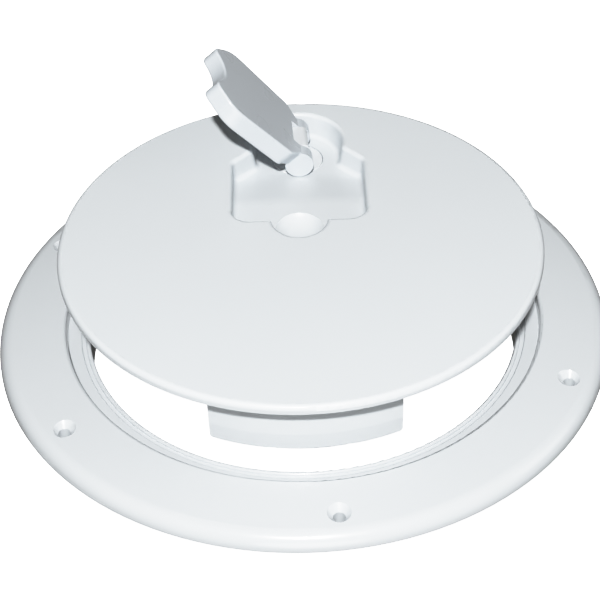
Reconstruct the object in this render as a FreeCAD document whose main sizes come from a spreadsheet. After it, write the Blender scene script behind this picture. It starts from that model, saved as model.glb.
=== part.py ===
# Deck inspection plate: a round screw-down ring for a deck opening, and a
# lift-out lid with a folding quarter-turn latch, shown with the lid raised
# above the ring, the latch turned open and its lever lifted.
#
# Frame: millimetres, +Z up. The origin is the centre of the opening, on the
# flange's underside, which is the deck surface. -Y is the side of the lid's
# tongue, +Y the side of the latch.
import FreeCAD, Part
import math
import os
import Sketcher

V = FreeCAD.Vector
doc = FreeCAD.newDocument("deck_inspection_plate")

# ---------------------------------------------------------------- dimensions
sheet = doc.addObject("Spreadsheet::Sheet", "dims")
ROWS = [
    # ring
    ("ring_rad", 144.0, "outer radius of the flange"),
    ("hole_rad", 101.2, "clear opening radius, at the lip"),
    ("lip_out_rad", 103.4, "outer radius of the raised lip"),
    ("lip_top", 4.5, "height of the lip"),
    ("gutter_rad", 105.2, "outer radius of the gutter"),
    ("gutter_floor", 3.1, "height of the gutter floor"),
    ("ledge_top", 4.0, "height of the lid's seat"),
    ("wall_rad", 111.7, "radius of the seat wall at its foot"),
    ("wall_top_rad", 111.85, "radius of the seat wall at its top"),
    ("wall_top", 8.7, "height where the crest rounding starts"),
    ("crest_rad", 113.65, "radius of the crest"),
    ("crest_top", 10.5, "height of the crest"),
    ("edge_rad", 137.5, "radius where the outer edge rounding starts"),
    ("edge_top", 8.55, "flange height there"),
    ("collar_rad", 104.8, "outer radius of the collar"),
    ("collar_depth", 18.0, "depth of the collar under the deck surface"),
    ("screw_pcd_rad", 130.9, "radius of the screw hole circle"),
    ("screw_hole_rad", 2.7, "screw hole radius"),
    ("sink_rad", 5.1, "countersink radius at the flange surface"),
    ("sink_depth", 2.5, "countersink depth"),
    ("screw_top", 9.2, "flange height at the screw hole circle"),
    ("screw_first", -24.5, "angle of the first screw hole"),
    # lid
    ("lid_seat", 4.7, "height of the lid's underside when seated"),
    ("lid_raise", 43.0, "how far the lid is lifted at rest"),
    ("lid_rad", 111.2, "lid radius"),
    ("lid_thick", 4.4, "lid plate thickness"),
    ("lid_edge", 2.4, "rounding of the lid's upper edge"),
    ("seal_in_rad", 106.5, "seal inner radius"),
    ("seal_out_rad", 109.7, "seal outer radius"),
    ("seal_groove", 2.0, "seal groove depth"),
    ("seal_stand", 0.55, "how far the seal stands below the lid"),
    # latch recess in the lid; heights from the lid's underside
    ("hub_y", 77.6, "distance of the latch axis from the lid's centre"),
    ("hub_well_rad", 22.7, "radius of the round end of the recess"),
    ("recess_half", 31.8, "half width of the recess"),
    ("recess_front", 13.9, "distance of its front wall from the lid's centre"),
    ("recess_lean", 2.0, "lean of the recess walls"),
    ("hub_lean", 9.0, "lean of the wall of the round end"),
    ("recess_shoulder", 60.0, "where its side walls turn in to the round end"),
    ("floor_front", -4.3, "floor height at the front"),
    ("floor_hub", -7.5, "floor height round the latch"),
    ("floor_bend_front", 40.0, "where the floor starts to fall"),
    ("floor_bend_hub", 62.0, "where it is level again"),
    ("pan_wall", 2.4, "wall thickness of the recess"),
    ("pan_trim_rad", 100.6, "radius that the recess stays within under the lid"),
    ("dimple_y", 16.4, "centre of the finger dimple"),
    ("dimple_z", 0.6, "height of its centre"),
    ("dimple_half_x", 13.4, "half width of the dimple"),
    ("dimple_half_y", 15.3, "half length of the dimple"),
    ("dimple_half_z", 9.8, "half height of the dimple"),
    ("boss_rad", 15.8, "latch boss, upper radius"),
    ("boss_low_rad", 10.5, "latch boss, lower radius"),
    ("boss_step", -13.4, "height of the step in the boss"),
    ("boss_end", -22.8, "lower end of the boss"),
    ("tongue_rad", 99.5, "outer radius of the tongue"),
    ("tongue_thick", 4.6, "tongue thickness"),
    ("tongue_bend", -23.2, "where the tongue's outer face turns in"),
    ("tongue_end", -32.8, "lower end of the tongue"),
    ("tongue_end_rad", 98.9, "outer radius there"),
    ("tongue_half_deg", 24.7, "half angle of the tongue"),
    # latch
    ("turn_rest", -87.0, "turn of the latch at rest, from the locked position"),
    ("lift_rest", 48.9, "lift of the lever at rest, from flat"),
    ("rotor_rad", 12.5, "rotor disc radius"),
    ("rotor_gap", 0.25, "radial gap round the rotor"),
    ("rotor_top", -7.4, "top of the rotor disc"),
    ("rotor_foot", -10.6, "underside of the rotor disc"),
    ("lug_half_x", 7.8, "half width of the lug along the hinge pin"),
    ("lug_half_y", 5.4, "half depth of the lug"),
    ("lug_top", 6.6, "top of the lug"),
    ("pin_z", -0.1, "height of the hinge pin"),
    ("pin_rad", 2.0, "hinge pin radius"),
    ("pin_half", 14.0, "half length of the hinge pin"),
    ("pin_run", 0.06, "radial clearance of the pin in the lug"),
    ("shaft_rad", 7.0, "spindle radius"),
    ("shaft_run", 0.06, "radial clearance of the spindle in the boss"),
    ("groove_rad", 5.5, "radius at the bottom of the ring groove"),
    ("groove_top", -15.0, "upper face of the ring groove"),
    ("groove_bottom", -17.4, "lower face of the ring groove"),
    ("drive_top", -23.0, "shoulder above the square drive"),
    ("drive_half", 4.5, "half width of the square drive"),
    ("drive_end", -27.9, "end of the spindle"),
    # cam and its screw
    ("cam_top", -23.05, "upper face of the cam"),
    ("cam_thick", 5.0, "cam thickness"),
    ("cam_hub_rad", 10.5, "radius of the cam's hub"),
    ("cam_reach", 30.5, "distance of the cam's tip from the latch axis"),
    ("cam_half", 6.8, "half width of the cam's arm"),
    ("washer_rad", 8.0, "washer radius"),
    ("washer_thick", 1.2, "washer thickness"),
    ("bolt_rad", 2.1, "cam screw radius"),
    ("bolt_len", 14.0, "cam screw length under the head"),
    ("bolt_head_rad", 4.7, "screw head radius"),
    ("bolt_head", 3.2, "screw head height"),
    # lever
    ("lever_top", 5.4, "lever's upper face above the pin's axis"),
    ("lever_under", 3.9, "lever's lower face below the pin's axis"),
    ("lever_len", 64.0, "distance of the horn tips from the pin's axis"),
    ("lever_half", 26.0, "half width of the lever at its widest"),
    ("lever_waist", 21.8, "half width of the lever near the knuckles"),
    ("lever_flare", 9.0, "lean of the lever's sides, wider below"),
    ("knuckle_rad", 6.9, "radius of the knuckles"),
    ("knuckle_out", 15.3, "outer face of a knuckle from the middle"),
    ("slot_half", 8.1, "half width of the slot for the lug"),
    ("slot_deep", 9.2, "distance of the slot's end from the pin's axis"),
    ("notch_deep", 7.5, "depth of the finger notch"),
    ("notch_half", 14.6, "half width of the finger notch"),
]
for row, (alias, value, note) in enumerate(ROWS, start=2):
    sheet.set("A%d" % row, note)
    sheet.set("B%d" % row, repr(value))
    sheet.setAlias("B%d" % row, alias)
sheet.set("A1", "dimension")
sheet.set("B1", "value")
doc.recompute()


class Dim:
    """A length with its value and the text that ties it to the sheet."""

    def __init__(self, value, text):
        self.value = float(value)
        self.text = text

    def _two(self, other, sign, fn, swap=False):
        other = other if isinstance(other, Dim) else Dim(other, repr(float(other)))
        a, b = (other, self) if swap else (self, other)
        return Dim(fn(a.value, b.value), "(%s %s %s)" % (a.text, sign, b.text))

    def __add__(self, o): return self._two(o, "+", lambda a, b: a + b)
    def __radd__(self, o): return self._two(o, "+", lambda a, b: a + b, True)
    def __sub__(self, o): return self._two(o, "-", lambda a, b: a - b)
    def __rsub__(self, o): return self._two(o, "-", lambda a, b: a - b, True)
    def __mul__(self, o): return self._two(o, "*", lambda a, b: a * b)
    def __rmul__(self, o): return self._two(o, "*", lambda a, b: a * b, True)
    def __truediv__(self, o): return self._two(o, "/", lambda a, b: a / b)
    def __neg__(self): return Dim(-self.value, "(0 - %s)" % self.text)


def as_dim(x):
    return x if isinstance(x, Dim) else Dim(x, repr(float(x)))


class Sizes:
    pass


S = Sizes()
for alias, value, note in ROWS:
    setattr(S, alias, Dim(value, "dims." + alias))


# ------------------------------------------------------------------- helpers
def tie(obj, prop, dim):
    """Binds one property to the sheet."""
    obj.setExpression(prop, as_dim(dim).text)


def place(obj, x, y, z, yaw=0.0, roll=0.0):
    """Binds an object's placement to the sheet."""
    x, y, z, yaw, roll = (as_dim(k) for k in (x, y, z, yaw, roll))
    obj.setExpression("Placement", "placement(vector(%s; %s; %s); rotation(%s; 0; %s))" % (
        x.text, y.text, z.text, yaw.text, roll.text))


def plane_of(body, role):
    return [f for f in body.Origin.OriginFeatures if f.Role == role][0]


def outline(sk, path):
    """Draws a closed outline in a sketch. path alternates corners, (x, y),
    and edges: None is a straight edge, (radius, side) an arc that bulges to
    the left (+1) or the right (-1) of the way from one corner to the next."""
    corners = [tuple(as_dim(c) for c in p) for p in path[0::2]]
    edges = path[1::2]
    n = len(corners)
    ends = []
    for i in range(n):
        a, b = corners[i], corners[(i + 1) % n]
        pa, pb = V(a[0].value, a[1].value, 0), V(b[0].value, b[1].value, 0)
        edge = edges[i]
        if edge is None:
            g = sk.addGeometry(Part.LineSegment(pa, pb), False)
        else:
            rad, side = as_dim(edge[0]), edge[1]
            chord = pb - pa
            half = chord.Length / 2.0
            drop = math.sqrt(max(rad.value ** 2 - half ** 2, 0.0))
            left = V(-chord.y, chord.x, 0).normalize()
            mid = (pa + pb) * 0.5 - left * (drop * side)
            first, last = (pa, pb) if side < 0 else (pb, pa)
            u = math.atan2(first.y - mid.y, first.x - mid.x)
            v = math.atan2(last.y - mid.y, last.x - mid.x)
            if v <= u:
                v += 2 * math.pi
            ring = Part.Circle(mid, V(0, 0, 1), rad.value)
            g = sk.addGeometry(Part.ArcOfCircle(ring, u, v), False)
            sk_r = sk.addConstraint(Sketcher.Constraint("Radius", g, rad.value))
            if "dims." in rad.text:
                sk.setExpression("Constraints[%d]" % sk_r, rad.text)
        geo = sk.Geometry[g]
        start = 1 if (geo.StartPoint - pa).Length <= (geo.EndPoint - pa).Length else 2
        ends.append((g, start, 3 - start))
    for i in range(n):
        g, start, end = ends[i]
        g2, start2, end2 = ends[(i + 1) % n]
        sk.addConstraint(Sketcher.Constraint("Coincident", g, end, g2, start2))
        for kind, dim in (("DistanceX", corners[i][0]), ("DistanceY", corners[i][1])):
            c = sk.addConstraint(Sketcher.Constraint(kind, -1, 1, g, start, dim.value))
            if "dims." in dim.text:
                sk.setExpression("Constraints[%d]" % c, dim.text)
    return sk


def circle(sk, x, y, rad):
    x, y, rad = as_dim(x), as_dim(y), as_dim(rad)
    g = sk.addGeometry(Part.Circle(V(x.value, y.value, 0), V(0, 0, 1), rad.value), False)
    for kind, dim in (("DistanceX", x), ("DistanceY", y)):
        c = sk.addConstraint(Sketcher.Constraint(kind, -1, 1, g, 3, dim.value))
        if "dims." in dim.text:
            sk.setExpression("Constraints[%d]" % c, dim.text)
    c = sk.addConstraint(Sketcher.Constraint("Radius", g, rad.value))
    if "dims." in rad.text:
        sk.setExpression("Constraints[%d]" % c, rad.text)
    return sk


def free_sketch(name, plane="XY"):
    """A sketch outside a body, on a base plane through the origin."""
    sk = doc.addObject("Sketcher::SketchObject", name)
    if plane == "XZ":
        sk.Placement = FreeCAD.Placement(V(0, 0, 0), FreeCAD.Rotation(V(1, 0, 0), 90))
    elif plane == "YZ":
        sk.Placement = FreeCAD.Placement(V(0, 0, 0), FreeCAD.Rotation(V(1, 1, 1), 120))
    return sk


def body_sketch(body, name, role):
    sk = body.newObject("Sketcher::SketchObject", name)
    sk.AttachmentSupport = [(plane_of(body, role), "")]
    sk.MapMode = "FlatFace"
    return sk


def extrude(name, sk, length, down=0.0, direction=(0, 0, 1)):
    """A prism from a free sketch: length one way and down the other."""
    ex = doc.addObject("Part::Extrusion", name)
    ex.Base = sk
    ex.DirMode = "Custom"
    ex.Dir = V(*direction)
    ex.Solid = True
    tie(ex, "LengthFwd", length)
    tie(ex, "LengthRev", down)
    return ex


def revolve(name, sk, angle=360.0, symmetric=False):
    """A solid of revolution about Z from a free sketch in the XZ plane."""
    rv = doc.addObject("Part::Revolution", name)
    rv.Source = sk
    rv.Axis = V(0, 0, 1)
    rv.Base = V(0, 0, 0)
    rv.Solid = True
    rv.Symmetric = symmetric
    tie(rv, "Angle", angle)
    return rv


def cylinder(name, rad, height, x=0.0, y=0.0, z=0.0):
    c = doc.addObject("Part::Cylinder", name)
    tie(c, "Radius", rad)
    tie(c, "Height", height)
    place(c, x, y, z)
    return c


def fuse(name, parts):
    f = doc.addObject("Part::MultiFuse", name)
    f.Shapes = parts
    f.Refine = True
    return f


def cut(name, base, tool):
    c = doc.addObject("Part::Cut", name)
    c.Base = base
    c.Tool = tool
    c.Refine = True
    return c


def common(name, a, b):
    c = doc.addObject("Part::Common", name)
    c.Base = a
    c.Tool = b
    return c


def rounded(name, base, rad, pick):
    """A fillet on the edges of base that pick(edge) chooses."""
    doc.recompute()
    chosen = [(i, rad, rad) for i, e in enumerate(base.Shape.Edges, start=1) if pick(e)]
    if not chosen:
        raise RuntimeError("no edge to round in " + name)
    f = doc.addObject("Part::Fillet", name)
    f.Base = base
    f.Edges = chosen
    doc.recompute()
    return f


def samples(edge, count=5):
    a, b = edge.ParameterRange
    return [edge.valueAt(a + (b - a) * (k + 0.5) / count) for k in range(count)]


nodes = []


def node(obj, label):
    obj.Label = label
    nodes.append(obj)
    return obj


# ---------------------------------------------------------------------- ring
# One moulding: flange, crest, seat wall, ledge, gutter, lip and collar.
ring_sk = free_sketch("ring_profile", "XZ")
outline(ring_sk, [
    (S.ring_rad - 0.7, 0), None,
    (S.ring_rad, 0.7), None,
    (S.ring_rad, 1.3), (7.3, -1),
    (S.edge_rad, S.edge_top), (420, -1),
    (S.crest_rad, S.crest_top), (1.85, -1),
    (S.wall_top_rad, S.wall_top), None,
    (S.wall_rad, S.ledge_top + 0.5), (0.5, +1),
    (S.wall_rad - 0.5, S.ledge_top), None,
    (S.gutter_rad + 0.5, S.ledge_top), (0.5, -1),
    (S.gutter_rad, S.ledge_top - 0.4), None,
    (S.gutter_rad, S.gutter_floor), None,
    (S.lip_out_rad, S.gutter_floor), None,
    (S.lip_out_rad, S.lip_top - 0.8), (0.8, -1),
    (S.lip_out_rad - 0.8, S.lip_top), None,
    (S.hole_rad + 0.9, S.lip_top), (0.9, -1),
    (S.hole_rad, S.lip_top - 0.9), None,
    (S.hole_rad + 0.3, 0.8 - S.collar_depth), (0.8, -1),
    (S.hole_rad + 1.1, -S.collar_depth), None,
    (S.collar_rad - 0.8, -S.collar_depth), (0.8, -1),
    (S.collar_rad, 0.8 - S.collar_depth), None,
    (S.collar_rad, 0), None,
])
ring_blank = revolve("ring_blank", ring_sk)
# a countersunk hole as one solid of revolution, cut six times round the circle
sink_sk = free_sketch("screw_hole_profile", "XZ")
outline(sink_sk, [
    (0, -5), None,
    (S.screw_hole_rad, -5), None,
    (S.screw_hole_rad, S.screw_top - S.sink_depth), None,
    (S.sink_rad + (S.sink_rad - S.screw_hole_rad), S.screw_top + S.sink_depth), None,
    (S.sink_rad + (S.sink_rad - S.screw_hole_rad), 20), None,
    (0, 20), None,
])
deck_ring = ring_blank
for k in range(6):
    angle = S.screw_first + 60.0 * k
    a = math.radians(angle.value)
    reach = S.screw_pcd_rad
    x = Dim(reach.value * math.cos(a), "(%s * cos(%s * 1 deg))" % (reach.text, angle.text))
    y = Dim(reach.value * math.sin(a), "(%s * sin(%s * 1 deg))" % (reach.text, angle.text))
    tool = revolve("screw_tool_%d" % k, sink_sk)
    place(tool, x, y, 0)
    deck_ring = cut("ring_cut_%d" % k, deck_ring, tool)
doc.recompute()
for k in range(6):
    a = math.radians(S.screw_first.value + 60.0 * k)
    middle = V(S.screw_pcd_rad.value * math.cos(a), S.screw_pcd_rad.value * math.sin(a), 3.0)
    if deck_ring.Shape.isInside(middle, 0.001, True):
        raise RuntimeError("screw hole %d is missing" % k)
node(deck_ring, "deck_ring")

# ----------------------------------------------------------------------- lid
# One moulding: round plate, latch recess with its finger dimple, latch boss
# and the tongue under the front edge. Modelled with z = 0 at the plate's
# underside, then raised.
plate_sk = free_sketch("plate_profile", "XZ")
outline(plate_sk, [
    (0, 0), None,
    (S.seal_in_rad - 0.1, 0), None,
    (S.seal_in_rad - 0.1, S.seal_groove), None,
    (S.seal_out_rad + 0.1, S.seal_groove), None,
    (S.seal_out_rad + 0.1, 0), None,
    (S.lid_rad - 0.4, 0), (0.4, -1),
    (S.lid_rad, 0.4), None,
    (S.lid_rad, S.lid_thick - S.lid_edge), (S.lid_edge, -1),
    (S.lid_rad - S.lid_edge, S.lid_thick), None,
    (0, S.lid_thick), None,
])
plate = revolve("lid_plate", plate_sk)


def pocket_body(name, grow, top, corner, shoulder, hollow, foot):
    """The recess as a solid: rounded front corners, straight sides, sloping
    shoulders, a round end about the latch axis, walls that lean in, and a
    floor that falls towards the latch. grow widens it all round."""
    body = doc.addObject("PartDesign::Body", name)
    sk = body_sketch(body, name + "_plan", "XY_Plane")
    sk.setExpression("AttachmentOffset.Base.z", S.lid_thick.text)
    half = S.recess_half + grow
    rad = S.hub_well_rad + grow
    join_x, join_y = rad * 0.948, S.hub_y - rad * 0.3183
    front = S.recess_front - grow
    outline(sk, [
        (-half, front), None,
        (half, front), None,
        (half, S.recess_shoulder), None,
        (join_x, join_y), (rad, -1),
        (0, S.hub_y + rad), (rad, -1),
        (-join_x, join_y), None,
        (-half, S.recess_shoulder), None,
    ])
    pad = body.newObject("PartDesign::Pad", name + "_pad")
    pad.Profile = sk
    pad.SideType = "Two sides"
    tie(pad, "Length", top)
    pad.Length2 = 30
    doc.recompute()

    def walls(shape, flat):
        found = []
        for k, f in enumerate(shape.Faces, start=1):
            u0, u1, v0, v1 = f.ParameterRange
            level = abs(f.normalAt((u0 + u1) / 2, (v0 + v1) / 2).z) > 0.99
            if not level and isinstance(f.Surface, Part.Plane) == flat:
                found.append("Face%d" % k)
        return found

    last = pad
    for label, flat, angle in (("hub_lean", False, S.hub_lean), ("lean", True, S.recess_lean)):
        lean = body.newObject("PartDesign::Draft", name + "_" + label)
        lean.Base = (last, walls(last.Shape, flat))
        tie(lean, "Angle", angle)
        lean.NeutralPlane = (sk, [""])
        lean.Reversed = True
        doc.recompute()
        last = lean

    for label, x, y, radius in (("corners", half, front, corner),
                                ("shoulders", half, S.recess_shoulder, shoulder),
                                ("hollows", join_x, join_y, hollow)):
        source = last
        names = []
        for k, e in enumerate(source.Shape.Edges, start=1):
            ends = [v.Point for v in e.Vertexes]
            if len(ends) == 2 and abs(ends[0].z - ends[1].z) > 20:
                top_end = max(ends, key=lambda q: q.z)
                if abs(abs(top_end.x) - x.value) < 1.5 and abs(top_end.y - y.value) < 1.5:
                    names.append("Edge%d" % k)
        last = body.newObject("PartDesign::Fillet", name + "_" + label)
        last.Base = (source, names)
        last.Radius = radius
        doc.recompute()

    floor_sk = body_sketch(body, name + "_floor", "YZ_Plane")
    a, b = S.floor_front - grow, S.floor_hub - grow
    outline(floor_sk, [
        (-20, a), None,
        (-20, -40), None,
        (S.hub_y + 50.0, -40), None,
        (S.hub_y + 50.0, b), None,
        (S.floor_bend_hub + 3.0, b), (41.6, +1),
        (S.floor_bend_hub - 3.0, b + (a - b) * 3.0 / (S.floor_bend_hub - S.floor_bend_front)), None,
        (S.floor_bend_front + 3.0, a - (a - b) * 3.0 / (S.floor_bend_hub - S.floor_bend_front)), (41.6, -1),
        (S.floor_bend_front - 3.0, a), None,
    ])
    base = body.newObject("PartDesign::Pocket", name + "_base")
    base.Profile = floor_sk
    base.SideType = "Symmetric"
    base.Length = 120
    doc.recompute()

    def low(edge):
        pts = samples(edge)
        return all(q.z < a.value + 0.02 for q in pts) and not all(
            abs(q.y - pts[0].y) < 0.01 for q in pts[1:]) or all(
            abs(q.z - a.value) < 0.001 and q.y < front.value + 4.0 for q in pts)

    bottom = body.newObject("PartDesign::Fillet", name + "_foot")
    bottom.Base = (base, ["Edge%d" % k for k, e in enumerate(base.Shape.Edges, start=1) if low(e)])
    bottom.Radius = foot
    doc.recompute()
    return body


recess_tool = pocket_body("recess", 0.0, 10.0, 9.0, 5.5, 4.5, 2.4)


def ellipsoid(name, grow):
    e = doc.addObject("Part::Ellipsoid", name)
    tie(e, "Radius1", S.dimple_half_z + grow)
    tie(e, "Radius2", S.dimple_half_x + grow)
    tie(e, "Radius3", S.dimple_half_y + grow)
    place(e, 0, S.dimple_y, S.dimple_z)
    return e


pan_body = pocket_body("pan", S.pan_wall, 0.5, 11.4, 7.9, 2.1, 4.4)
trim = cylinder("pan_trim", S.pan_trim_rad, 30, 0, 0, -29)
pan = common("pan_trimmed", pan_body, trim)
under_box = doc.addObject("Part::Box", "under_box")
under_box.Length = 60
under_box.Width = 60
under_box.Height = 30
place(under_box, -30, -12, -29)
dimple_pan = common("dimple_pan", ellipsoid("dimple_outer", S.pan_wall), under_box)
boss_top = cylinder("boss_top", S.boss_rad, S.floor_hub - 1.0 - S.boss_step, 0, S.hub_y, S.boss_step)
boss_low = cylinder("boss_low", S.boss_low_rad, S.boss_step + 1.0 - S.boss_end, 0, S.hub_y, S.boss_end)

tongue_sk = free_sketch("tongue_profile", "XZ")
outline(tongue_sk, [
    (S.tongue_rad - S.tongue_thick, 0.6), None,
    (S.tongue_rad - S.tongue_thick, S.tongue_bend), None,
    (S.tongue_end_rad - 2.9, S.tongue_end + 0.9), (0.9, -1),
    (S.tongue_end_rad - 2.0, S.tongue_end), None,
    (S.tongue_end_rad - 1.1, S.tongue_end), (1.1, -1),
    (S.tongue_end_rad, S.tongue_end + 1.1), None,
    (S.tongue_rad, S.tongue_bend), None,
    (S.tongue_rad, 0.6), None,
])
tongue_turn = revolve("tongue_turn", tongue_sk, S.tongue_half_deg * 2.0 + 8.0, True)
place(tongue_turn, 0, 0, 0, -90)
tongue_face_sk = free_sketch("tongue_face", "XZ")
tongue_half = Dim(S.tongue_rad.value * math.sin(math.radians(S.tongue_half_deg.value)),
                  "(dims.tongue_rad * sin(dims.tongue_half_deg * 1 deg))")
outline(tongue_face_sk, [
    (-tongue_half, 1), None,
    (-tongue_half, S.tongue_end + 2.5), (2.6, -1),
    (2.6 - tongue_half, S.tongue_end - 0.1), None,
    (tongue_half - 2.6, S.tongue_end - 0.1), (2.6, -1),
    (tongue_half, S.tongue_end + 2.5), None,
    (tongue_half, 1), None,
])
tongue = common("tongue", tongue_turn,
                extrude("tongue_slab", tongue_face_sk, 120, 0, (0, -1, 0)))

lid_solid = fuse("lid_solid", [plate, pan, dimple_pan, boss_top, boss_low, tongue])
rotor_bore = cylinder("rotor_bore", S.rotor_rad + S.rotor_gap, 10, 0, S.hub_y, S.rotor_foot)
spindle_bore = cylinder("spindle_bore", S.shaft_rad + S.shaft_run, 30, 0, S.hub_y, S.boss_end - 1.0)
lid_tools = fuse("lid_tools", [recess_tool, ellipsoid("dimple", 0.0), rotor_bore, spindle_bore])
lid_cut = cut("lid_cut", lid_solid, lid_tools)


def rim_edge(edge):
    pts = samples(edge)
    return all(abs(p.z - S.lid_thick.value) < 0.001 and
               math.hypot(p.x, p.y) < S.lid_rad.value - S.lid_edge.value - 1.0 for p in pts)


lid = rounded("lid_rim", lid_cut, 2.0, rim_edge)
lid_z = S.lid_seat + S.lid_raise
place(lid, 0, 0, lid_z)
node(lid, "lid")

# The rubber seal in the groove under the plate's edge.
seal_sk = free_sketch("seal_profile", "XZ")
outline(seal_sk, [
    (S.seal_in_rad, 0.6 - S.seal_stand), (0.6, -1),
    (S.seal_in_rad + 0.6, -S.seal_stand), None,
    (S.seal_out_rad - 0.6, -S.seal_stand), (0.6, -1),
    (S.seal_out_rad, 0.6 - S.seal_stand), None,
    (S.seal_out_rad, S.seal_groove), None,
    (S.seal_in_rad, S.seal_groove), None,
])
seal = revolve("seal_turn", seal_sk)
place(seal, 0, 0, lid_z)
node(seal, "lid_seal")

# ------------------------------------------------------------------- spindle
# One moulding: lug for the hinge pin, rotor disc, spindle with a ring groove,
# and a square drive. X is along the hinge pin, -Y is the lever's side.
spindle = doc.addObject("PartDesign::Body", "spindle")
turn_sk = body_sketch(spindle, "spindle_profile", "XZ_Plane")
outline(turn_sk, [
    (0, S.rotor_top), None,
    (0, S.drive_top), None,
    (S.shaft_rad, S.drive_top), None,
    (S.shaft_rad, S.groove_bottom), None,
    (S.groove_rad, S.groove_bottom), None,
    (S.groove_rad, S.groove_top), None,
    (S.shaft_rad, S.groove_top), None,
    (S.shaft_rad, S.rotor_foot), None,
    (S.rotor_rad, S.rotor_foot), None,
    (S.rotor_rad, S.rotor_top - 0.5), (0.5, -1),
    (S.rotor_rad - 0.5, S.rotor_top), None,
])
turn = spindle.newObject("PartDesign::Revolution", "spindle_turn")
turn.Profile = turn_sk
turn.ReferenceAxis = (turn_sk, ["V_Axis"])
turn.Angle = 360
turn_sk.Visibility = False
doc.recompute()

lug_sk = body_sketch(spindle, "lug_profile", "YZ_Plane")
outline(lug_sk, [
    (-S.lug_half_y, S.rotor_top - 1.0), None,
    (S.lug_half_y, S.rotor_top - 1.0), None,
    (S.lug_half_y, S.lug_top - 2.6), (2.6, -1),
    (S.lug_half_y - 2.6, S.lug_top), None,
    (2.6 - S.lug_half_y, S.lug_top), (2.6, -1),
    (-S.lug_half_y, S.lug_top - 2.6), None,
])
lug = spindle.newObject("PartDesign::Pad", "lug")
lug.Profile = lug_sk
lug.SideType = "Symmetric"
tie(lug, "Length", S.lug_half_x * 2.0)
doc.recompute()

drive_sk = body_sketch(spindle, "drive_square", "XY_Plane")
drive_sk.setExpression("AttachmentOffset.Base.z", S.drive_end.text)
outline(drive_sk, [
    (-S.drive_half, -S.drive_half), None,
    (S.drive_half, -S.drive_half), None,
    (S.drive_half, S.drive_half), None,
    (-S.drive_half, S.drive_half), None,
])
drive = spindle.newObject("PartDesign::Pad", "drive")
drive.Profile = drive_sk
tie(drive, "Length", S.drive_top - S.drive_end)
doc.recompute()

bore_sk = body_sketch(spindle, "pin_bore", "YZ_Plane")
circle(bore_sk, 0, S.pin_z, S.pin_rad + S.pin_run)
bore = spindle.newObject("PartDesign::Pocket", "pin_bore_cut")
bore.Profile = bore_sk
bore.SideType = "Symmetric"
tie(bore, "Length", S.lug_half_x * 2.0 + 2.0)
doc.recompute()

thread_sk = body_sketch(spindle, "bolt_hole", "XY_Plane")
thread_sk.setExpression("AttachmentOffset.Base.z", S.drive_end.text)
circle(thread_sk, 0, 0, S.bolt_rad)
thread = spindle.newObject("PartDesign::Pocket", "bolt_hole_cut")
thread.Profile = thread_sk
thread.Reversed = True
tie(thread, "Length", S.bolt_len + 1.0)
doc.recompute()
place(spindle, 0, S.hub_y, lid_z, S.turn_rest)
node(spindle, "latch_spindle")

# The sealing ring in the spindle's groove.
o_ring = doc.addObject("Part::Torus", "o_ring")
tie(o_ring, "Radius1", (S.groove_rad + S.shaft_rad) / 2.0 + 0.02)
tie(o_ring, "Radius2", (S.shaft_rad - S.groove_rad) / 2.0 + 0.01)
place(o_ring, 0, S.hub_y, lid_z + (S.groove_top + S.groove_bottom) / 2.0)
node(o_ring, "spindle_o_ring")

# --------------------------------------------------------------------- lever
# Solid folding lever. Its own frame has the hinge pin along X through the
# origin; flat in the recess it points along -Y.
lever = doc.addObject("PartDesign::Body", "lever")
lever_sk = body_sketch(lever, "lever_plan", "XY_Plane")
h, n, k, w = S.lever_half, S.lever_len, S.knuckle_out - 0.2, S.lever_waist
notch_rad = (S.notch_half * S.notch_half + S.notch_deep * S.notch_deep) / (S.notch_deep * 2.0)
outline(lever_sk, [
    (k, 0), None,
    (k, -4.6), None,
    (w, -11.0), None,
    (h, 13.0 - n), None,
    (S.notch_half, -n), (notch_rad, -1),
    (-S.notch_half, -n), None,
    (-h, 13.0 - n), None,
    (-w, -11.0), None,
    (-k, -4.6), None,
    (-k, 0), None,
])
lever_sk.setExpression("AttachmentOffset.Base.z", S.lever_top.text)
paddle = lever.newObject("PartDesign::Pad", "paddle")
paddle.Profile = lever_sk
paddle.Reversed = True
tie(paddle, "Length", S.lever_top + S.lever_under)
doc.recompute()

# the long sides lean out a little towards the underside
sides = []
for i, f in enumerate(paddle.Shape.Faces, start=1):
    middle = f.CenterOfMass
    if isinstance(f.Surface, Part.Plane) and abs(f.normalAt(0, 0).z) < 0.01 and (
            abs(middle.x) > w.value - 0.1 and 13.0 - n.value < middle.y < -11.0):
        sides.append("Face%d" % i)
flare = lever.newObject("PartDesign::Draft", "lever_flare")
flare.Base = (paddle, sides)
tie(flare, "Angle", S.lever_flare)
flare.NeutralPlane = (lever_sk, [""])
flare.Reversed = False
doc.recompute()

last = flare
for label, x, y, radius in (("lever_necks", k, as_dim(-4.6), 3.0),
                            ("lever_shoulders", w, as_dim(-11.0), 5.0),
                            ("lever_corners", h, 13.0 - n, 14.0),
                            ("lever_horns", S.notch_half, -n, 4.2)):
    names = []
    for i, e in enumerate(last.Shape.Edges, start=1):
        ends = [v.Point for v in e.Vertexes]
        if len(ends) == 2 and abs(ends[0].z - ends[1].z) > 5:
            high = max(ends, key=lambda q: q.z)
            if abs(abs(high.x) - x.value) < 0.02 and abs(high.y - y.value) < 0.02:
                names.append("Edge%d" % i)
    turned = lever.newObject("PartDesign::Fillet", label)
    turned.Base = (last, names)
    turned.Radius = radius
    doc.recompute()
    last = turned


def paddle_edge(edge):
    pts = samples(edge)
    top, low = S.lever_top.value, -S.lever_under.value
    flat = all(abs(p.z - top) < 0.001 for p in pts) or all(abs(p.z - low) < 0.001 for p in pts)
    return flat and all(p.y < -0.01 for p in pts)


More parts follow.
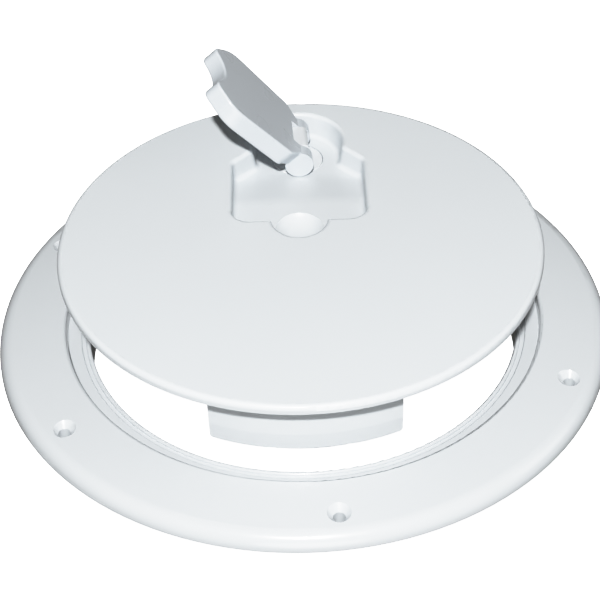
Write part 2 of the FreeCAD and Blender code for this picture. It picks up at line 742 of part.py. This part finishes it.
names = ["Edge%d" % i for i, e in enumerate(last.Shape.Edges, start=1) if paddle_edge(e)]
soften = lever.newObject("PartDesign::Fillet", "paddle_edges")
soften.Base = (last, names)
soften.Radius = 1.1
doc.recompute()

knuckle_sk = body_sketch(lever, "knuckle_circle", "YZ_Plane")
circle(knuckle_sk, 0, 0, S.knuckle_rad)
knuckle = lever.newObject("PartDesign::Pad", "knuckles")
knuckle.Profile = knuckle_sk
knuckle.SideType = "Symmetric"
tie(knuckle, "Length", S.knuckle_out * 2.0)
doc.recompute()

slot_sk = body_sketch(lever, "slot_plan", "XY_Plane")
outline(slot_sk, [
    (-S.slot_half, -S.slot_deep), None,
    (S.slot_half, -S.slot_deep), None,
    (S.slot_half, S.knuckle_rad + 2.0), None,
    (-S.slot_half, S.knuckle_rad + 2.0), None,
])
slot = lever.newObject("PartDesign::Pocket", "slot")
slot.Profile = slot_sk
slot.SideType = "Symmetric"
tie(slot, "Length", S.knuckle_rad * 2.0 + 6.0)
doc.recompute()

eye_sk = body_sketch(lever, "pin_eye", "YZ_Plane")
circle(eye_sk, 0, 0, S.pin_rad)
eye = lever.newObject("PartDesign::Pocket", "pin_eyes")
eye.Profile = eye_sk
eye.SideType = "Two sides"
tie(eye, "Length", S.knuckle_out + 2.0)
tie(eye, "Length2", S.pin_half + 0.1)
doc.recompute()
place(lever, 0, S.hub_y, lid_z + S.pin_z, S.turn_rest, -S.lift_rest)
node(lever, "latch_lever")

# The hinge pin, a press fit in the lever's knuckles.
pin = doc.addObject("PartDesign::Body", "pin")
pin_sk = body_sketch(pin, "pin_circle", "YZ_Plane")
circle(pin_sk, 0, 0, S.pin_rad)
pin_pad = pin.newObject("PartDesign::Pad", "pin_rod")
pin_pad.Profile = pin_sk
pin_pad.SideType = "Symmetric"
tie(pin_pad, "Length", S.pin_half * 2.0)
doc.recompute()
ends = ["Edge%d" % i for i, e in enumerate(pin_pad.Shape.Edges, start=1) if len(e.Vertexes) == 1]
pin_round = pin.newObject("PartDesign::Chamfer", "pin_ends")
pin_round.Base = (pin_pad, ends)
pin_round.Size = 0.35
doc.recompute()
place(pin, 0, S.hub_y, lid_z + S.pin_z, S.turn_rest, -S.lift_rest)
node(pin, "hinge_pin")

# ----------------------------------------------------------------------- cam
# Flat arm on the square drive; locked, it points to +Y and lies under the
# collar's lower edge.
cam = doc.addObject("PartDesign::Body", "cam")
cam_sk = body_sketch(cam, "cam_plan", "XY_Plane")
cam_sk.setExpression("AttachmentOffset.Base.z", (S.cam_top - S.cam_thick).text)
neck = S.cam_hub_rad * 0.762
outline(cam_sk, [
    (S.cam_half, neck), None,
    (S.cam_half, S.cam_reach - 4.0), (4.0, -1),
    (S.cam_half - 4.0, S.cam_reach), None,
    (4.0 - S.cam_half, S.cam_reach), (4.0, -1),
    (-S.cam_half, S.cam_reach - 4.0), None,
    (-S.cam_half, neck), (S.cam_hub_rad, -1),
    (-S.cam_hub_rad, 0), (S.cam_hub_rad, -1),
    (0, -S.cam_hub_rad), (S.cam_hub_rad, -1),
    (S.cam_hub_rad, 0), (S.cam_hub_rad, -1),
])
cam_pad = cam.newObject("PartDesign::Pad", "cam_plate")
cam_pad.Profile = cam_sk
tie(cam_pad, "Length", S.cam_thick)
doc.recompute()
ramps = []
for i, e in enumerate(cam_pad.Shape.Edges, start=1):
    pts = samples(e)
    if all(abs(p.z - S.cam_top.value) < 0.001 and abs(abs(p.x) - S.cam_half.value) < 0.001 for p in pts):
        ramps.append("Edge%d" % i)
ramp = cam.newObject("PartDesign::Chamfer", "cam_ramps")
ramp.Base = (cam_pad, ramps)
ramp.Size = 1.4
doc.recompute()
square_sk = body_sketch(cam, "cam_square", "XY_Plane")
square_sk.setExpression("AttachmentOffset.Base.z", (S.cam_top - S.cam_thick).text)
g = S.drive_half + 0.05
outline(square_sk, [
    (-g, -g), None, (g, -g), None, (g, g), None, (-g, g), None,
])
square = cam.newObject("PartDesign::Pocket", "cam_hole")
square.Profile = square_sk
square.SideType = "Symmetric"
tie(square, "Length", S.cam_thick * 2.0 + 4.0)
doc.recompute()
place(cam, 0, S.hub_y, lid_z, S.turn_rest)
node(cam, "latch_cam")

# Washer and screw that hold the cam on the spindle.
cam_foot = S.cam_top - S.cam_thick
washer = cut("washer_cut",
             cylinder("washer_disc", S.washer_rad, S.washer_thick, 0, 0, cam_foot - S.washer_thick),
             cylinder("washer_hole", S.bolt_rad + 0.3, 4, 0, 0, cam_foot - 3.0))
doc.recompute()
place(washer, 0, S.hub_y, lid_z, S.turn_rest)
node(washer, "cam_washer")

bolt = doc.addObject("PartDesign::Body", "bolt")
bolt_sk = body_sketch(bolt, "bolt_profile", "XZ_Plane")
seat = cam_foot - S.washer_thick
outline(bolt_sk, [
    (0, seat + S.bolt_len), None,
    (0, seat - S.bolt_head), None,
    (S.bolt_head_rad - 1.6, seat - S.bolt_head), (2.2, -1),
    (S.bolt_head_rad, seat - S.bolt_head + 1.5), None,
    (S.bolt_head_rad, seat), None,
    (S.bolt_rad - 0.05, seat), None,
    (S.bolt_rad - 0.05, seat + S.bolt_len - 0.8), None,
    (S.bolt_rad - 0.7, seat + S.bolt_len), None,
])
bolt_turn = bolt.newObject("PartDesign::Revolution", "bolt_turn")
bolt_turn.Profile = bolt_sk
bolt_turn.ReferenceAxis = (bolt_sk, ["V_Axis"])
bolt_turn.Angle = 360
doc.recompute()
cross_sk = body_sketch(bolt, "bolt_cross", "XY_Plane")
cross_sk.setExpression("AttachmentOffset.Base.z", (seat - S.bolt_head).text)
a, b = 0.55, 2.6
outline(cross_sk, [
    (a, a), None, (a, b), None, (-a, b), None, (-a, a), None,
    (-b, a), None, (-b, -a), None, (-a, -a), None, (-a, -b), None,
    (a, -b), None, (a, -a), None, (b, -a), None, (b, a), None,
])
cross = bolt.newObject("PartDesign::Pocket", "bolt_drive")
cross.Profile = cross_sk
cross.Reversed = True
tie(cross, "Length", 1.7)
doc.recompute()
place(bolt, 0, S.hub_y, lid_z, S.turn_rest)
node(bolt, "cam_screw")

# --------------------------------------------------------------- check, write
doc.recompute()
bad = [o.Name for o in doc.Objects if "Invalid" in o.State or "Error" in o.State]
if bad:
    raise RuntimeError("failed objects: " + ", ".join(bad))
for before, after in ((turn, lug), (lug, drive), (paddle, flare), (knuckle, slot)):
    if abs(after.Shape.Volume - before.Shape.Volume) < 1.0:
        raise RuntimeError(after.Name + " changes nothing")
for before, after in ((drive, bore), (bore, thread), (flare, soften), (slot, eye),
                      (cam_pad, ramp), (ramp, square), (bolt_turn, cross)):
    if after.Shape.Volume > before.Shape.Volume - 0.05:
        raise RuntimeError(after.Name + " cuts nothing")
for obj in nodes:
    shape = obj.Shape
    if shape.isNull() or not shape.isValid() or len(shape.Solids) != 1:
        raise RuntimeError("bad shape: %s, %d solids" % (obj.Label, len(shape.Solids)))

os.makedirs("parts", exist_ok=True)
for obj in nodes:
    obj.Shape.exportStep(os.path.join("parts", obj.Label + ".step"))
    box = obj.Shape.BoundBox
    print("%-16s volume %9.1f  x %7.1f %7.1f  y %7.1f %7.1f  z %6.1f %6.1f" % (
        obj.Label, obj.Shape.Volume, box.XMin, box.XMax, box.YMin, box.YMax, box.ZMin, box.ZMax))
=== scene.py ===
import math

import bpy
from mathutils import Matrix, Vector


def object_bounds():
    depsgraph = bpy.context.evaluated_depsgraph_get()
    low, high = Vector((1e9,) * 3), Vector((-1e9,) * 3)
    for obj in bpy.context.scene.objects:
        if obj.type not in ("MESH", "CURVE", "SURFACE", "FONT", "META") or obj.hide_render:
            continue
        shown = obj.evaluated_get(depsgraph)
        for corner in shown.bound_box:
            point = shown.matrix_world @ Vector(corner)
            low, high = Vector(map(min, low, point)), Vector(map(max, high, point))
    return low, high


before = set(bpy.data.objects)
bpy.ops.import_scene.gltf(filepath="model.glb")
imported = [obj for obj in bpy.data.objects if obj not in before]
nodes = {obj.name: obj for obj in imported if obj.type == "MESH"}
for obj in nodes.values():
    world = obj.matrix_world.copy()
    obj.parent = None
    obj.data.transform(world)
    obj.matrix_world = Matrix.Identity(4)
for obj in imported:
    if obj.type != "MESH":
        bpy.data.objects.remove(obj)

scene = bpy.context.scene
cad_low, cad_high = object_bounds()


# ------------------------------------------------------------------ node help
class Tree:
    """Short names for making a material's nodes."""

    def __init__(self, name):
        self.mat = bpy.data.materials.new(name)
        self.mat.use_nodes = True
        self.t = self.mat.node_tree
        self.t.nodes.clear()
        self.out = self.add("ShaderNodeOutputMaterial")
        self.bsdf = self.add("ShaderNodeBsdfPrincipled")
        self.link(self.bsdf, "BSDF", self.out, "Surface")
        self.coord = self.add("ShaderNodeTexCoord")

    def add(self, kind, **inputs):
        n = self.t.nodes.new(kind)
        for k, v in inputs.items():
            n.inputs[k.replace("_", " ")].default_value = v
        return n

    def link(self, a, out, b, into):
        self.t.links.new(a.outputs[out], b.inputs[into])

    def noise(self, scale, detail=4.0, rough=0.5, stretch=None, source=None):
        n = self.add("ShaderNodeTexNoise")
        n.inputs["Scale"].default_value = scale
        n.inputs["Detail"].default_value = detail
        n.inputs["Roughness"].default_value = rough
        if stretch is not None:
            m = self.add("ShaderNodeMapping")
            m.inputs["Scale"].default_value = stretch
            self.link(self.coord, "Object", m, "Vector")
            self.link(m, "Vector", n, "Vector")
        else:
            self.link(self.coord, "Object", n, "Vector")
        return n

    def remap(self, src, out, low, high, a=0.0, b=1.0):
        r = self.add("ShaderNodeMapRange")
        r.inputs["From Min"].default_value = a
        r.inputs["From Max"].default_value = b
        r.inputs["To Min"].default_value = low
        r.inputs["To Max"].default_value = high
        self.link(src, out, r, "Value")
        return r

    def two_tone(self, src, out, dark, light, a=0.3, b=0.7):
        r = self.add("ShaderNodeValToRGB")
        r.color_ramp.elements[0].position = a
        r.color_ramp.elements[0].color = (*dark, 1)
        r.color_ramp.elements[1].position = b
        r.color_ramp.elements[1].color = (*light, 1)
        self.link(src, out, r, "Fac")
        return r

    def bump(self, src, out, strength, distance, after=None):
        b = self.add("ShaderNodeBump")
        b.inputs["Strength"].default_value = strength
        b.inputs["Distance"].default_value = distance
        self.link(src, out, b, "Height")
        if after is not None:
            self.link(after, "Normal", b, "Normal")
        return b


def moulded(name, dark, light, rough, coat=0.25, peel=0.00002, grain=0.0):
    """White injection moulding: a very slight cloudiness in the colour, an
    even gloss with faint variation, and the shallow waviness of a mould."""
    m = Tree(name)
    b = m.bsdf
    b.inputs["IOR"].default_value = 1.49
    b.inputs["Coat Weight"].default_value = coat
    b.inputs["Coat Roughness"].default_value = 0.12
    b.inputs["Coat IOR"].default_value = 1.45
    cloud = m.noise(14.0, 3.0, 0.45)
    tone = m.two_tone(cloud, "Fac", dark, light, 0.0, 1.0)
    m.link(tone, "Color", b, "Base Color")
    blotch = m.noise(55.0, 2.0, 0.5)
    r = m.remap(blotch, "Fac", rough - 0.05, rough + 0.06)
    m.link(r, "Result", b, "Roughness")
    wave = m.noise(30.0, 0.0, 0.0)
    bump = m.bump(wave, "Fac", 0.3, peel * 8)
    if grain:
        spark = m.noise(2600.0, 1.0, 0.5)
        bump = m.bump(spark, "Fac", 0.5, grain, bump)
    m.link(bump, "Normal", b, "Normal")
    return m.mat


def rubber(name, dark, light):
    m = Tree(name)
    b = m.bsdf
    cloud = m.noise(60.0, 5.0, 0.6)
    tone = m.two_tone(cloud, "Fac", dark, light)
    m.link(tone, "Color", b, "Base Color")
    r = m.remap(cloud, "Fac", 0.55, 0.75, 0.3, 0.7)
    m.link(r, "Result", b, "Roughness")
    fine = m.noise(1500.0, 3.0, 0.6)
    bump = m.bump(fine, "Fac", 0.4, 0.00003)
    m.link(bump, "Normal", b, "Normal")
    return m.mat


def steel(name, stretch, rough):
    """Stainless steel with fine marks along one direction."""
    m = Tree(name)
    b = m.bsdf
    b.inputs["Metallic"].default_value = 1.0
    lines = m.noise(300.0, 4.0, 0.6, stretch)
    tone = m.two_tone(lines, "Fac", (0.50, 0.50, 0.51), (0.68, 0.68, 0.69))
    m.link(tone, "Color", b, "Base Color")
    r = m.remap(lines, "Fac", rough - 0.05, rough + 0.08, 0.3, 0.7)
    m.link(r, "Result", b, "Roughness")
    bump = m.bump(lines, "Fac", 0.3, 0.00001)
    m.link(bump, "Normal", b, "Normal")
    return m.mat


white_a, white_b = (0.616, 0.648, 0.670), (0.636, 0.668, 0.690)
materials = {
    "deck_ring": moulded("ring_white", (0.574, 0.602, 0.622), (0.592, 0.620, 0.640), 0.22, 0.35),
    "lid": moulded("lid_white", white_a, white_b, 0.38, 0.08),
    # the lever's white is darker and greyer than the lid's: painted shade for the dim tone of its sloping
    # top face
    "latch_lever": moulded("lever_white", (0.542, 0.578, 0.610), (0.558, 0.594, 0.626), 0.28, 0.2),
    "latch_spindle": moulded("spindle_white", (0.665, 0.69, 0.71), (0.685, 0.71, 0.73), 0.28, 0.2),
    "latch_cam": moulded("cam_white", (0.58, 0.60, 0.61), (0.61, 0.63, 0.64), 0.45, 0.0, 0.00003, 0.00001),
    "lid_seal": rubber("seal_black", (0.018, 0.018, 0.020), (0.035, 0.035, 0.037)),
    "spindle_o_ring": rubber("o_ring_black", (0.012, 0.012, 0.013), (0.026, 0.026, 0.027)),
    "hinge_pin": steel("pin_steel", (1.0, 14.0, 14.0), 0.30),
    "cam_washer": steel("washer_steel", (10.0, 10.0, 1.0), 0.36),
    "cam_screw": steel("screw_steel", (12.0, 12.0, 2.0), 0.33),
}
for name, mat in materials.items():
    o = nodes[name]
    o.data.materials.clear()
    o.data.materials.append(mat)

# ---------------------------------------------------------------------- floor
floor_z = cad_low[2] - 0.0002
bpy.ops.mesh.primitive_plane_add(size=40, location=(0, 3, floor_z))
floor = bpy.context.object
floor.name = "floor"
fm = Tree("floor_pale")
fb = fm.bsdf
fb.inputs["Roughness"].default_value = 0.9
fb.inputs["Specular IOR Level"].default_value = 0.0
grain = fm.noise(3.0, 2.0, 0.5)
ft = fm.two_tone(grain, "Fac", (0.90, 0.90, 0.90), (0.92, 0.92, 0.92))
fm.link(ft, "Color", fb, "Base Color")
fb.inputs["Emission Color"].default_value = (1, 1, 1, 1)
fb.inputs["Emission Strength"].default_value = 2.1
floor.data.materials.append(fm.mat)
floor.visible_diffuse = False
floor.visible_glossy = False

# --------------------------------------------------------------------- lights
world = bpy.data.worlds.new("studio")
scene.world = world
world.use_nodes = True
wt = world.node_tree
wt.nodes.clear()
w_out = wt.nodes.new("ShaderNodeOutputWorld")
w_bg = wt.nodes.new("ShaderNodeBackground")
w_bg.inputs["Color"].default_value = (1.0, 1.0, 0.94, 1)
w_bg.inputs["Strength"].default_value = 0.06
wt.links.new(w_bg.outputs["Background"], w_out.inputs["Surface"])


def area(name, position, target, size, power, colour=(1, 1, 1)):
    light = bpy.data.lights.new(name, "AREA")
    light.shape = "DISK"
    light.size = size
    light.energy = power
    light.color = colour
    o = bpy.data.objects.new(name, light)
    scene.collection.objects.link(o)
    o.location = position
    way = Vector(target) - Vector(position)
    o.rotation_euler = way.to_track_quat("-Z", "Y").to_euler()
    return o


key = area("key", (-0.035, -0.985, 1.15), (0, 0, 0.03), 0.07, 32.3)
# what the pale table in front throws back on the faces that stand upright
bounce = area("bounce", (0.0, -1.25, 0.06), (0, 0, 0.04), 0.7, 3.4)
# a weak light from the right, for the lever's sloping face
fill = area("fill", (0.9, -0.1, 0.45), (0, 0.05, 0.06), 0.5, 0.95)

# --------------------------------------------------------------------- camera
cam_data = bpy.data.cameras.new("camera")
cam = bpy.data.objects.new("camera", cam_data)
scene.collection.objects.link(cam)
scene.camera = cam
cam_data.sensor_fit = "HORIZONTAL"
cam_data.sensor_width = 36.0
cam_data.lens = 96.0
cam_data.clip_start = 0.01
cam_data.clip_end = 50.0
# where it looks: turned a hair to the left, 40.6 degrees down, rolled slightly
yaw, down, roll = -0.00272, math.atan2(0.65373, 0.75673) - 0.00316, -0.03475
forward = Vector((math.sin(yaw) * math.cos(down), math.cos(yaw) * math.cos(down), -math.sin(down)))
right0 = Vector((math.cos(yaw), -math.sin(yaw), 0))
up0 = right0.cross(forward)
right = right0 * math.cos(roll) + up0 * math.sin(roll)
up = up0 * math.cos(roll) - right0 * math.sin(roll)
place = Vector((0.000551, -0.57484, 0.507624))
cam.matrix_world = Matrix((
    (right.x, up.x, -forward.x, place.x),
    (right.y, up.y, -forward.y, place.y),
    (right.z, up.z, -forward.z, place.z),
    (0, 0, 0, 1)))

scene.view_settings.view_transform = "Standard"
scene.view_settings.look = "None"
scene.view_settings.exposure = 0.0
scene.view_settings.gamma = 1.0
# a camera's soft shoulder: true up to the lid's tone, flatter above it
scene.view_settings.use_curve_mapping = True
tone_map = scene.view_settings.curve_mapping
tone_map.clip_max_x = 2.5
shoulder = tone_map.curves[3]
shoulder.points[1].location = (2.0, 1.0)
for x, y in ((0.35, 0.35), (0.79, 0.79), (1.05, 0.905), (1.45, 0.965)):
    shoulder.points.new(x, y)
tone_map.update()
